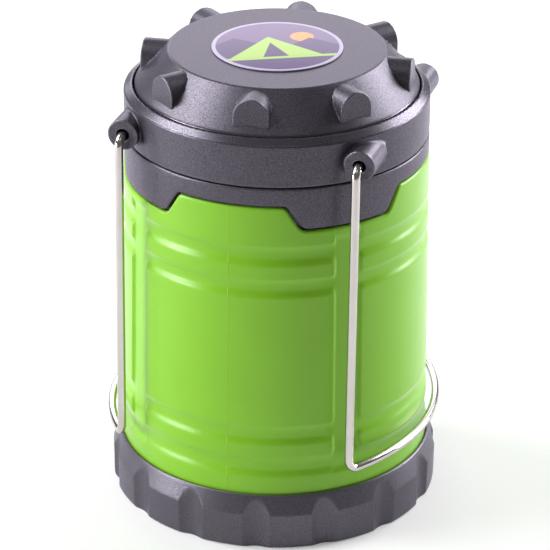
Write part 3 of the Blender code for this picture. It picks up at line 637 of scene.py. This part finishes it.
def tube(name, path, mats, ring_steps=24):
    """Sweep a round wire along a path of (point, radius in the bend plane, radius across it)."""
    places = [Vector(p) for p, _, _ in path]
    count = len(places)
    tangents = [(places[min(i + 1, count - 1)] - places[max(i - 1, 0)]).normalized()
                for i in range(count)]
    side = tangents[0].orthogonal().normalized()
    verts = []
    for i in range(count):
        side = (side - tangents[i] * side.dot(tangents[i])).normalized()
        up = tangents[i].cross(side)
        bend = Vector((0, 0, 0))
        if 0 < i < count - 1:
            after, before = places[i + 1] - places[i], places[i] - places[i - 1]
            bend = after.normalized() - before.normalized()
        inward = bend.normalized() if bend.length > 1e-6 else side
        cross = tangents[i].cross(inward)
        for k in range(ring_steps):
            a = 2 * math.pi * k / ring_steps
            ray = side * math.cos(a) + up * math.sin(a)
            reach = inward * ray.dot(inward) * path[i][1] + cross * ray.dot(cross) * path[i][2]
            verts.append((places[i] + reach)[:])
    at = np.arange(count * ring_steps).reshape(count, ring_steps)
    ahead = np.roll(at, -1, axis=1)
    faces = np.stack([at[:-1], ahead[:-1], ahead[1:], at[1:]], -1).reshape(-1, 4).tolist()
    faces += [at[0][::-1].tolist(), at[-1].tolist()]
    return new_object(name, verts, faces, mats)


def bent(points, radii, steps):
    """The path with arcs at its corners, and for each point how far it is into a bend, 0 to 1."""
    result = []
    for i, point in enumerate(points):
        here = Vector(point)
        if radii[i] == 0:
            result.append((here, 0.0))
            continue
        back = (Vector(points[i - 1]) - here).normalized()
        ahead = (Vector(points[i + 1]) - here).normalized()
        arc = corner_arc(back, here, ahead, radii[i], steps)
        result += [(place, math.sin(math.pi * k / steps)) for k, place in enumerate(arc)]
    return result


def handle(name, side):
    """A bail: two legs from the bosses, joined by a bow that stands off the sleeve."""
    sag = HANDLE_REACH_X - BOSS_X
    radius = (LEG_BOTTOM_Y ** 2 + sag ** 2) / (2 * sag)
    middle = HANDLE_REACH_X - radius
    half = math.asin(LEG_BOTTOM_Y / radius)
    bow_steps, leg_steps = 24, 14
    bow = [(middle + radius * math.cos(a), radius * math.sin(a), HANDLE_LOW_Z)
           for a in [half * (2 * k / bow_steps - 1) for k in range(bow_steps + 1)]]
    top, bottom = Vector((BOSS_X, -LEG_TOP_Y, BOSS_Z)), Vector(bow[0])
    leg = [top.lerp(bottom, 0.06 + 0.86 * k / leg_steps)[:] for k in range(leg_steps + 1)]
    inner = [(BOSS_X, -BORE_END_Y - 0.8, BOSS_Z), (BOSS_X, -BORE_END_Y - 4.0, BOSS_Z)]
    front = inner + [top[:]] + leg
    path = front + bow + [(x, -y, z) for x, y, z in reversed(front)]
    radii = [0] * len(path)
    for i, r in ((2, 2.2), (len(front), 2.6)):
        radii[i] = r
        radii[-1 - i] = r
    rings = []
    for place, share in bent(path, radii, 12):
        rings.append(((side * place.x, place.y, place.z),
                      WIRE_R * (1 - 0.10 * share), WIRE_R * (1 + 0.03 * share)))
    first, last = rings[0], rings[-1]
    for point, sign in ((first, 1), (last, -1)):
        x, y, z = point[0]
        tip = ((x, y + sign * 0.12, z), WIRE_R * 0.82, WIRE_R * 0.82)
        rings.insert(0 if sign > 0 else len(rings), tip)
    return tube(name, rings, [MAT["wire"]])


def lens():
    profile = [(LENS_BORE, LENS_TOP_Z), (LENS_R, LENS_TOP_Z), (LENS_R, LENS_LOW_Z),
               (LENS_BORE, LENS_LOW_Z)]
    return turned("lens_shell", profile, [MAT["clear"]], 160, 0.25)


def reflectors():
    """The mirrored cones above and below the lamps."""
    outer = LENS_BORE - 0.4
    upper = [(outer - 1.0, LENS_TOP_Z), (outer, LENS_TOP_Z), (outer, LENS_TOP_Z - 5.6),
             (27.2, 95.4), (26.4, 95.4), (26.4, 96.8), (outer - 1.0, LENS_TOP_Z - 4.9)]
    lower = [(27.2, 45.2), (outer, 40.0), (outer, LENS_LOW_Z), (outer - 1.0, LENS_LOW_Z),
             (outer - 1.0, 39.3), (26.4, 44.0), (26.4, 45.2)]
    return [turned("reflector_cone_upper", upper, [MAT["mirror"]], 128, 0.2),
            turned("reflector_cone_lower", lower, [MAT["mirror"]], 128, 0.2)]


def slab(verts, faces, indices, middle, size, corner, low, high, index, dish=0.0):
    """Add a rounded block that stands on a strip: middle and size are (across, z), low and high are
    outward. Its top dips by dish in the middle, and index is its material."""
    corners = []
    for sx, sz, start in ((1, 1, 0), (-1, 1, 90), (-1, -1, 180), (1, -1, 270)):
        for k in range(4):
            a = math.radians(start + 30 * k)
            corners.append((middle[0] + sx * (size[0] / 2 - corner) + corner * math.cos(a),
                            middle[1] + sz * (size[1] / 2 - corner) + corner * math.sin(a)))
    edge = 0.12
    levels = [(low, 0.0), (high - edge, 0.0), (high, edge)]
    first = len(verts)
    for out, inset in levels:
        for u, z in corners:
            shrink = [1 - 2 * inset / s for s in size]
            verts.append((out, middle[0] + (u - middle[0]) * shrink[0],
                          middle[1] + (z - middle[1]) * shrink[1]))
    n = len(corners)
    for level in range(len(levels) - 1):
        for k in range(n):
            a, b = first + level * n + k, first + level * n + (k + 1) % n
            faces.append([a, b, b + n, a + n])
    faces.append([first + k for k in reversed(range(n))])
    verts.append((high - dish, *middle))
    top = first + (len(levels) - 1) * n
    faces += [[top + k, top + (k + 1) % n, len(verts) - 1] for k in range(n)]
    indices += [index] * (len(faces) - len(indices))


def led_strip(number):
    """A white board with five lamps, their solder and a resistor beside each."""
    verts, faces, indices = [], [], []
    middle = STRIP_LOW_Z + STRIP_H / 2
    front = STRIP_NEAR + STRIP_T
    slab(verts, faces, indices, (0, middle), (STRIP_W, STRIP_H), 0.8, STRIP_NEAR, front, 0)
    pitch = STRIP_H / LEDS_PER_STRIP
    for k in range(LEDS_PER_STRIP):
        z = STRIP_LOW_Z + pitch * (k + 0.5)
        slab(verts, faces, indices, (0, z), (LED_W, LED_W), 0.3, front, front + LED_H, 1)
        slab(verts, faces, indices, (0, z), (PHOSPHOR_W, PHOSPHOR_W), 0.9,
             front + 0.5, front + LED_H + 0.13, 2, -0.02)
        for side in (-1, 1):
            slab(verts, faces, indices, (side * 1.95, z), (0.9, 2.4), 0.2, front, front + 0.22, 3)
        slab(verts, faces, indices, (RESISTOR_PLACE, z), (1.0, 2.0), 0.1, front, front + 0.5, 4)
        for side in (-1, 1):
            slab(verts, faces, indices, (RESISTOR_PLACE, z + side * 1.15), (1.1, 0.5), 0.12,
                 front, front + 0.3, 3)
    turn = math.radians(60.0 * (number - 1))
    place = np.array(verts)
    across, out = place[:, 1], place[:, 0]
    world = np.stack([out * math.cos(turn) - across * math.sin(turn),
                      out * math.sin(turn) + across * math.cos(turn), place[:, 2]], -1)
    return new_object(f"lamp_strip_{number}", world, faces,
                      [MAT["board"], MAT["package"], MAT["phosphor"], MAT["solder"], MAT["rubber"]],
                      indices=indices)


# ---------------------------------------------------------------- body

def outline(points, radii):
    """A function that gives the height and slope of a rounded line of (across, z) points."""
    path = []
    for i, point in enumerate(points):
        here = Vector(point)
        if radii[i] == 0:
            path.append(here)
            continue
        back = (Vector(points[i - 1]) - here).normalized()
        ahead = (Vector(points[i + 1]) - here).normalized()
        path += corner_arc(back, here, ahead, radii[i], 16)
    us, zs = np.array([p.x for p in path]), np.array([p.y for p in path])

    def height(u):
        return np.interp(np.abs(u), us, zs)

    def slope(u):
        return (height(u + 0.08) - height(u - 0.08)) / 0.16

    return height, slope


QUARTER_U = SKIRT_R * math.sin(math.pi / 4)


def quarters(across):
    """Angles round the axis for columns at +-across in each of the four quarters, and their
    offsets."""
    offset = np.concatenate([-across[:0:-1], across[:-1]])
    turn = np.arcsin(offset / SKIRT_R)
    angle = np.concatenate([math.radians(45 + 90 * q) + turn for q in range(4)])
    return angle, np.tile(offset, 4)


def rim_points(angle, offset, height, slope, distance, outward):
    """Angle and height of the points at a distance from an edge line, measured square to it."""
    s = slope(offset)
    length = np.hypot(1.0, s)
    across = offset + outward * s / length * distance
    spot = angle + np.arcsin(np.clip(across / SKIRT_R, -1, 1)) - np.arcsin(offset / SKIRT_R)
    return spot, height(offset) - outward * distance / length


# A groove's line from its top edge to its bottom edge: share of its height, share of its depth
GROOVE_LINE = np.array([
    (0.00, 0.00), (0.03, 0.02), (0.06, 0.10), (0.10, 0.25), (0.15, 0.46), (0.21, 0.68),
    (0.28, 0.86), (0.36, 0.97), (0.45, 1.00), (0.55, 0.97), (0.62, 0.91), (0.68, 0.80),
    (0.73, 0.64), (0.79, 0.43), (0.85, 0.23), (0.90, 0.10), (0.95, 0.02), (1.00, 0.00)])
BAR_END_R = 1.45


def sleeve_depth(across, z):
    """How deep the sleeve's grooves and channels are at a place."""
    beyond = np.abs(across) - CHANNEL_HALF
    near = np.clip(beyond, 0.0, BAR_END_R) / BAR_END_R
    spread = BAR_END_R * (1 - np.sqrt(np.clip(1 - (1 - near) ** 2, 0, 1)))
    low_end = SLEEVE_GROOVES[-1][1]
    raised = smoothstep(-0.55, 0.55, beyond)
    raised = np.maximum(raised, 1 - smoothstep(low_end - 0.1, low_end + 2.6, z))
    top = SLEEVE_GROOVES[0][0]
    raised = np.maximum(raised, 0.9 * smoothstep(top - 0.4, top + 2.4, z))
    for high, low in SLEEVE_GROOVES:
        bottom = low if low == low_end else low - spread
        share = (high + spread - z) / (high + spread - bottom)
        groove = np.interp(share, GROOVE_LINE[:, 0], GROOVE_LINE[:, 1], 0.0, 0.0)
        raised = raised * (1 - groove)
    return GROOVE_DEPTH * (1 - raised)


def outer_sleeve():
    """The green sleeve, with its notched top edge, its grooves and its channels."""
    across = graded((0, 2.6, 3), (2.6, 5.4, 14), (5.4, 10.4, 6), (10.4, 18.2, 28),
                    (18.2, QUARTER_U, 9))
    angle, offset = quarters(across)
    height, slope = outline([(0, 90.4), (12.6, 90.4), (16.57, SLEEVE_TOP_Z), (40, SLEEVE_TOP_Z)],
                            [0, 2.8, 1.3, 0])
    lip, join_z = 0.65, 88.4
    rows = []
    for k in range(6):
        a = math.radians(90 * k / 5)
        spot, z = rim_points(angle, offset, height, slope, lip * (1 - math.cos(a)), 1)
        rows.append((spot, z, lip * (1 - math.sin(a)), True))
    edge_angle, edge_z = rows[-1][0], rows[-1][1]
    for k in range(1, 9):
        share = k / 9
        rows.append((edge_angle + (angle - edge_angle) * share,
                     edge_z + (join_z - edge_z) * share, 0.0, True))
    levels = [join_z, 87.6, 87.0]
    for i, (high, low) in enumerate(SLEEVE_GROOVES):
        levels += [high + 1.0, high + 0.6, high + 0.3]
        levels += [high - t * (high - low) for t in GROOVE_LINE[:, 0]]
        levels += [low - 0.35, low - 0.75, low - 1.2]
    levels += list(np.arange(69.5, 37.0, -2.0)) + [17.6, 16.4, 15.4, 14.4, SLEEVE_LOW_Z + 0.3]
    levels = sorted(set(np.round(levels, 3)), reverse=True)
    levels = [z for z in levels if z <= join_z]
    rows += [(angle, np.full_like(angle, z), 0.0, True) for z in levels]
    rows += [(angle, np.full_like(angle, SLEEVE_LOW_Z), 0.3, True)]
    rows += [(angle, np.full_like(angle, z), SLEEVE_WALL, False)
             for z in (SLEEVE_LOW_Z, 50.0, join_z)]
    spot, z = rim_points(angle, offset, height, slope, 0.0, 1)
    rows.append((spot, z, SLEEVE_WALL, False))
    points = []
    for spot, z, depth, grooved in rows:
        radius = SLEEVE_TOP_R + (SLEEVE_TOP_Z - z) * SLEEVE_DRAFT - depth
        if grooved:
            local = SKIRT_R * np.sin(spot - (angle - np.arcsin(offset / SKIRT_R)))
            carved = sleeve_depth(local, z)
            radius = radius - carved * (1 if depth < 0.9 else 0)
        points.append(polar(radius, spot, z))
    return wrapped("sleeve_shell", np.stack(points, 1), [MAT["green"]], True)


def body_liner():
    """The grey inner body: a skirt with four tongues on top of the tube that the head slides in."""
    across = graded((0, 1.9, 2), (1.9, 2.7, 4), (2.7, 10.0, 7), (10.0, 18.0, 28),
                    (18.0, QUARTER_U, 9))
    angle, offset = quarters(across)
    edge_line = [(0, TAB_LOW_Z), (TAB_LOW_HALF, TAB_LOW_Z), (TAB_HIGH_HALF, SKIRT_RAISED_Z),
                 (40, SKIRT_RAISED_Z)]
    height, slope = outline(edge_line, [0, 2.4, 1.5, 0])
    lip = 0.4
    rows = [(angle, SPLIT_Z - 0.3, LINER_MOUTH_R), (angle, SPLIT_Z, LINER_MOUTH_R + 0.3)]
    for k in range(5):
        a = math.radians(90 * k / 4)
        rows.append((angle, SPLIT_Z - lip * (1 - math.cos(a)), SKIRT_R - lip * (1 - math.sin(a))))
    top_z = SPLIT_Z - lip
    edge_angle, edge_z = rim_points(angle, offset, height, slope, lip, -1)
    for k in range(1, 6):
        share = k / 6
        rows.append((angle + (edge_angle - angle) * share,
                     top_z + (edge_z - top_z) * share, SKIRT_R))
    for k in range(5):
        a = math.radians(90 * k / 4)
        spot, z = rim_points(angle, offset, height, slope, lip * (1 - math.sin(a)), -1)
        rows.append((spot, z, SKIRT_R - lip * (1 - math.cos(a))))
    rows.append((angle, height(offset), LINER_R))
    flange_z = LINER_LOW_Z + LINER_FLANGE_H
    rows += [(angle, z, r) for r, z in (
        (LINER_R, 88.0), (LINER_R, 50.0), (LINER_R, flange_z + 0.3), (LINER_R + 0.3, flange_z),
        (LINER_FLANGE_R, flange_z), (LINER_FLANGE_R, LINER_LOW_Z), (LINER_HOLE_R, LINER_LOW_Z),
        (LINER_HOLE_R, LINER_FLOOR_Z))]
    around = np.degrees(angle) % 180.0
    around = np.radians(np.where(around > 90, around - 180, around))
    groove = np.where(np.abs(SKIRT_R * np.sin(around)) < RAIL_HALF, RAIL_GROOVE_R, LINER_BORE)
    rows += [(angle, LINER_FLOOR_Z, groove), (angle, RAIL_TOP_Z, groove),
             (angle, RAIL_TOP_Z + 0.01, LINER_BORE), (angle, LINER_MOUTH_Z - 0.4, LINER_BORE),
             (angle, LINER_MOUTH_Z, LINER_MOUTH_R)]
    points = [polar(r, spot, z + 0.0 * spot) for spot, z, r in rows]
    return wrapped("liner_shell", np.stack(points, 1), [MAT["graphite"]], True)


# ---------------------------------------------------------------- battery cover

def soft_min(a, b, width):
    """The smaller of two values, blended where they are within the width of each other."""
    share = np.clip(0.5 + 0.5 * (b - a) / width, 0, 1)
    return b + (a - b) * share - width * share * (1 - share)


def flutes():
    """Angles of the cover's columns, and how far out the flutes let its wall reach at each."""
    centre = BASE_R - FLUTE_DEPTH + FLUTE_R
    half_step = 180.0 / FLUTE_COUNT
    offset = graded((0, FLUTE_HALF - 0.7, 7), (FLUTE_HALF - 0.7, FLUTE_HALF + 0.7, 10),
                    (FLUTE_HALF + 0.7, half_step, 5))
    offset = np.concatenate([-offset[:0:-1], offset[:-1]])
    angle = np.radians(np.concatenate([FLUTE_ANGLE + 2 * half_step * k + offset
                                       for k in range(FLUTE_COUNT)]))
    local = np.radians(np.tile(offset, FLUTE_COUNT))
    aside = centre * np.sin(local)
    depth = np.sqrt(np.clip(FLUTE_R ** 2 - aside ** 2, 0, None))
    unlimited = 60.0
    return angle, np.where(np.abs(aside) < FLUTE_R, centre * np.cos(local) - depth, unlimited)


def battery_cover():
    """The fluted base with its hub, three bayonet lugs and a shallow recess underneath."""
    angle, flute = flutes()

    def rings(profile):
        return [polar(np.full_like(angle, r), angle, z) for r, z in profile]

    lug = np.abs((np.degrees(angle) + 60.0) % 120.0 - 60.0) < LUG_HALF
    lug_r = np.where(lug, HUB_R + LUG_HEIGHT, HUB_R)
    rows = rings([(0.5, BASE_FLOOR), (HUB_BORE - 0.3, BASE_FLOOR), (HUB_BORE, BASE_FLOOR + 0.3),
                  (HUB_BORE, HUB_TOP_Z - 0.2), (HUB_BORE + 0.2, HUB_TOP_Z),
                  (HUB_R - 0.2, HUB_TOP_Z), (HUB_R, HUB_TOP_Z - 0.2)])
    rows += [polar(lug_r, angle, HUB_TOP_Z - 0.21), polar(lug_r, angle, LUG_LOW_Z)]
    rows += rings([(HUB_R, LUG_LOW_Z - 0.01), (HUB_R, BASE_FLOOR + 0.2), (HUB_R + 0.2, BASE_FLOOR),
                   (BASE_BORE - 0.3, BASE_FLOOR), (BASE_BORE, BASE_FLOOR + 0.3),
                   (BASE_BORE, BASE_TOP_Z - 0.3)])
    wall = [(BASE_BORE + 0.02, BASE_TOP_Z - 0.03), (BASE_BORE + 0.20, BASE_TOP_Z),
            (BASE_TOP_R - 0.05, BASE_TOP_Z - 0.08)]
    for k in range(1, 19):
        share = k / 19
        wall.append((BASE_TOP_R + (BASE_R - BASE_TOP_R) * share,
                     BASE_TOP_Z + (BASE_EDGE_Z - BASE_TOP_Z) * share))
    wall += [(BASE_R - 0.06, BASE_EDGE_Z + 0.14), (BASE_R - 0.01, BASE_EDGE_Z - 0.05)]
    wall += [(BASE_R - 0.1 * (BASE_EDGE_Z - z) / BASE_EDGE_Z, z)
             for z in (9.4, 8.6, 7.2, 5.6, 4.0, 2.4, 1.3)]
    wall += [(BASE_R - 0.13, 0.75), (BASE_R - 0.22, 0.42), (BASE_R - 0.42, 0.14),
             (BASE_R - 0.72, 0.0)]
    rows += [polar(soft_min(r, flute, 0.28), angle, z) for r, z in wall]
    rows += rings([(36.5, 0.0), (36.5 - BASE_RECESS, BASE_RECESS), (0.5, BASE_RECESS)])
    return wrapped("cover_shell", np.stack(rows, 1), [MAT["graphite"]], False)


# ---------------------------------------------------------------- stage

def softbox(name, azimuth, elevation, distance, size, watts):
    """A white rectangular lamp that faces the lantern. Azimuth 0 is the front, 90 the right."""
    a, e = math.radians(azimuth), math.radians(elevation)
    back = Vector((math.sin(a) * math.cos(e), -math.cos(a) * math.cos(e), math.sin(e)))
    data = bpy.data.lights.new(name, "AREA")
    data.shape = "RECTANGLE"
    data.size, data.size_y = size
    data.energy = watts
    lamp = bpy.data.objects.new(name, data)
    bpy.context.scene.collection.objects.link(lamp)
    lamp.location = LAMP_AIM + back * distance
    lamp.rotation_euler = back.to_track_quat("Z", "Y").to_euler()
    return lamp


# Name, azimuth from the camera, elevation, distance in metres, width and height in metres, watts
LAMPS = (
    ("left_low_box", -75, 8, 0.9, (0.44, 0.17), 6.2),
    ("left_high_box", -98, 46, 0.9, (0.54, 0.46), 9.0),
    ("right_low_box", 110, 7, 0.9, (0.36, 0.15), 4.8),
    ("right_high_box", 124, 32, 0.9, (0.56, 0.42), 9.0),
    ("front_high_box", 0, 62, 1.1, (0.5, 0.4), 0.5),
    ("back_box", 186, 20, 1.2, (1.2, 0.45), 5.4),
)


def stage():
    """The floor, the even light of the room and the lamps."""
    mesh = bpy.data.meshes.new("floor")
    corners = [(x * FLOOR_HALF, y * FLOOR_HALF, 0) for x, y in ((-1, -1), (1, -1), (1, 1), (-1, 1))]
    mesh.from_pydata(corners, [], [(0, 1, 2, 3)])
    mesh.materials.append(pale_floor())
    floor = bpy.data.objects.new("floor", mesh)
    bpy.context.scene.collection.objects.link(floor)
    world = bpy.data.worlds.new("studio")
    bpy.context.scene.world = world
    world.use_nodes = True
    sky = world.node_tree.nodes["Background"]
    sky.inputs["Color"].default_value = (1.0, 1.0, 1.0, 1.0)
    sky.inputs["Strength"].default_value = ROOM_LIGHT
    for name, azimuth, elevation, distance, size, watts in LAMPS:
        softbox(name, CAMERA_AZIMUTH + azimuth, elevation, distance, size, watts)


def camera():
    a, e = math.radians(CAMERA_AZIMUTH), math.radians(CAMERA_ELEVATION)
    back = Vector((math.sin(a) * math.cos(e), -math.cos(a) * math.cos(e), math.sin(e)))
    data = bpy.data.cameras.new("camera")
    data.lens = CAMERA_LENS
    data.sensor_width = 36.0
    data.clip_start = 0.01
    data.clip_end = 50.0
    eye = bpy.data.objects.new("camera", data)
    bpy.context.scene.collection.objects.link(eye)
    roll = Matrix.Rotation(math.radians(CAMERA_ROLL), 4, "Z")
    facing = back.to_track_quat("Z", "Y").to_matrix().to_4x4()
    eye.matrix_world = Matrix.Translation(CAMERA_AIM + back * CAMERA_DISTANCE) @ facing @ roll
    bpy.context.scene.camera = eye


# ---------------------------------------------------------------- assembly

def put(piece, body, slot, *nodes):
    """Ride the piece on its body in place of its CAD nodes."""
    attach(piece, body)
    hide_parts(*nodes)


# The CAD nodes that stay in view, by the start of their names, and their materials
KEPT_NODES = {
    "control_board": "board", "carrier_ring": "graphite", "led_column": "white",
    "contact_wiper": "brass", "cap_screw": "screw", "column_screw": "screw",
    "carrier_screw": "screw", "battery_housing": "graphite", "contact_rail": "brass",
    "housing_screw": "screw", "battery_cell": "cell", "top_contact": "brass",
    "seal_ring": "rubber", "spring_carrier": "graphite", "battery_spring": "spring",
}


def dress_kept_nodes():
    """Give the carried-over CAD nodes their procedural materials."""
    for name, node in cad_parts.items():
        for start, finish in KEPT_NODES.items():
            if name.startswith(start):
                node.data.materials.clear()
                node.data.materials.append(MAT[finish])


camera()
stage()
dress_kept_nodes()
put(top_cap(), "head", "graphite_plastic", "top_cap")
put(badge(), "head", "badge_print", "top_badge")
put(collar(), "head", "graphite_plastic", "collar")
put(handle("left_bail", -1), "left_handle", "nickel_wire", "left_handle")
put(handle("right_bail", 1), "right_handle", "nickel_wire", "right_handle")
put(lens(), "head", "clear_plastic", "lens_tube")
upper, lower = reflectors()
put(upper, "head", "mirror_plastic", "upper_reflector")
put(lower, "head", "mirror_plastic", "lower_reflector")
for n in range(1, 7):
    put(led_strip(n), "head", "circuit_board", f"led_strip_{n}")
put(outer_sleeve(), "body", "green_plastic", "outer_sleeve")
put(body_liner(), "body", "graphite_plastic", "body_liner")
put(battery_cover(), "cover", "graphite_plastic", "battery_cover")

bpy.context.scene.view_settings.view_transform = "Standard"
